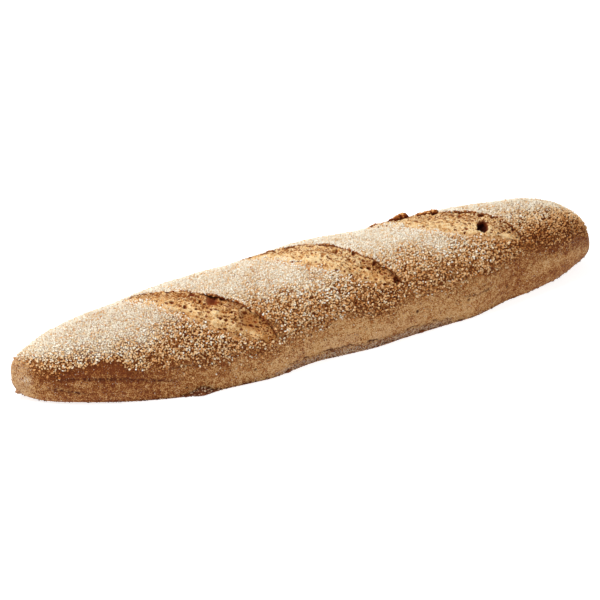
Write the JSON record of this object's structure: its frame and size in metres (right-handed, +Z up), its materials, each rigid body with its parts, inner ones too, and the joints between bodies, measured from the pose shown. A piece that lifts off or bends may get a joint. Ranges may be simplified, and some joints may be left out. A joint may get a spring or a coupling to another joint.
{
  "type": "whole wheat baguette",
  "caption": "Long whole wheat baguette with tapered rounded ends, slanted opened scores and a coating of pale bran and grits, lying on its flat base.",
  "frame": {"origin": "middle of the loaf's bounding box on the ground, at the underside of its flat base", "axes": "+X along the loaf towards its right end as seen from the side where the scores run down, +Z up from the base, +Y to the far side"},
  "size_m": [0.45, 0.09, 0.0665],
  "materials": {
    "baked_crust": "dry, rough, golden-brown whole wheat crust"
  },
  "bodies": {
    "root": {"loaf": "baked_crust"}
  },
  "joints": []
}
